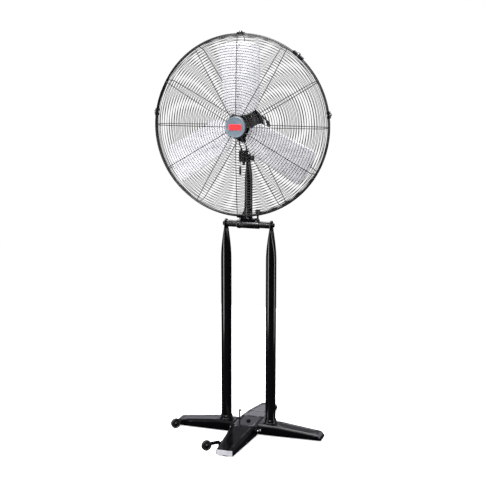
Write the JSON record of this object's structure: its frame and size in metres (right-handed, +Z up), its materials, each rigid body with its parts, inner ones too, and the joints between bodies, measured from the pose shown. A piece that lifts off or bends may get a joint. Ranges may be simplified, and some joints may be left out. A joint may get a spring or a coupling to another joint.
{
  "type": "pedestal fan",
  "caption": "Large round wire-caged fan on a tilting neck and crossbar, carried by a post stand with a cross-shaped steel floor base and transport wheels.",
  "frame": {"origin": "on the floor, centred under the crossbar and at the crossing of the base's legs", "axes": "+Z up, +X along the crossbar towards the clamp knob, and the fan blows towards -Y"},
  "size_m": [0.8588, 0.7286, 1.9528],
  "materials": {
    "black_paint": "gloss black enamel",
    "motor_paint": "semi-gloss dark grey-black enamel",
    "guard_wire": "black coated wire",
    "zinc_steel": "bright zinc plate",
    "blade_aluminium": "mill-finish sheet aluminium",
    "black_plastic": "moulded black plastic",
    "rubber": "matt black rubber",
    "badge_paint": "satin grey-teal enamel",
    "label_red": "plain red film",
    "end_white": "plain white end plate",
    "stator_iron": "varnished laminations and windings"
  },
  "bodies": {
    "stand": {"base_beam": "black_paint", "left_leg": "black_paint", "right_leg": "black_paint", "front_end_plate": "end_white", "foot_front": "rubber", "foot_rear": "rubber", "foot_left": "rubber", "foot_right": "rubber", "centre_bolt": "black_paint", "hook_pin": "black_paint", "left_wheel_bracket": "black_paint", "front_wheel_bracket": "black_paint", "left_wheel_axle": "black_paint", "front_wheel_axle": "black_paint", "left_post": "black_paint", "right_post": "black_paint", "left_post_flange": "black_paint", "right_post_flange": "black_paint", "crossbar": "black_paint", "left_bar_bolt": "black_paint", "right_bar_bolt": "black_paint"},
    "left_wheel": {"left_wheel": "black_plastic"},
    "front_wheel": {"front_wheel": "black_plastic"},
    "neck": {"pivot_sleeve": "black_paint", "neck_saddle": "black_paint", "neck_tube": "black_paint", "clamp_stud": "black_paint"},
    "clamp_knob": {"clamp_knob": "black_plastic"},
    "head": {"tilt_bracket": "black_paint", "tilt_bolt": "zinc_steel", "motor_case": "motor_paint", "motor_front_bell": "motor_paint", "motor_rear_bell": "motor_paint", "stator_core": "stator_iron", "front_bearing": "zinc_steel", "rear_bearing": "zinc_steel", "tilt_handle": "black_paint", "front_guard": "guard_wire", "rear_guard": "guard_wire", "badge_disc": "badge_paint", "badge_label": "label_red", "guard_clip_top": "black_paint", "guard_clip_right": "black_paint", "guard_clip_bottom": "black_paint", "guard_clip_left": "black_paint", "guard_latch": "black_paint", "switch_box": "black_plastic", "run_capacitor": "blade_aluminium", "cord_gland": "black_plastic", "motor_lead": "rubber"},
    "tilt_knob": {"tilt_knob": "black_plastic"},
    "rotor": {"rotor_shaft": "zinc_steel", "rotor_core": "zinc_steel", "blade_spider": "black_paint", "blade_1": "blade_aluminium", "blade_2": "blade_aluminium", "blade_3": "blade_aluminium", "hub_nut": "zinc_steel"},
    "pull": {"pull_chain": "zinc_steel", "pull_grip": "black_plastic"}
  },
  "joints": [
    {"name": "neck_tilt", "type": "hinge", "parent": "stand", "child": "neck", "pos_m": [0, 0, 1.043], "axis": [1, 0, 0], "range_deg": [-20, 20]},
    {"name": "clamp_turn", "type": "hinge", "parent": "neck", "child": "clamp_knob", "pos_m": [0.046, 0, 1.1], "axis": [0, 0, 1], "range_deg": [0, 270]},
    {"name": "head_tilt", "type": "hinge", "parent": "neck", "child": "head", "pos_m": [0, 0, 1.362], "axis": [1, 0, 0], "range_deg": [-30, 8]},
    {"name": "tilt_knob_turn", "type": "hinge", "parent": "head", "child": "tilt_knob", "pos_m": [0.015, 0, 1.362], "axis": [1, 0, 0], "range_deg": [0, 270]},
    {"name": "rotor_spin", "type": "hinge", "parent": "head", "child": "rotor", "pos_m": [0, -0.1, 1.52], "axis": [0, 1, 0], "continuous": true},
    {"name": "pull_switch", "type": "slide", "parent": "head", "child": "pull", "axis": [0, 0, -1], "range_m": [0, 0.01], "stiffness_N_per_m": 900},
    {"name": "left_wheel_spin", "type": "hinge", "parent": "stand", "child": "left_wheel", "pos_m": [-0.348, -0.098, 0.036], "axis": [0.7071, -0.7071, 0], "continuous": true},
    {"name": "front_wheel_spin", "type": "hinge", "parent": "stand", "child": "front_wheel", "pos_m": [-0.098, -0.335, 0.036], "axis": [0.7071, -0.7071, 0], "continuous": true}
  ]
}
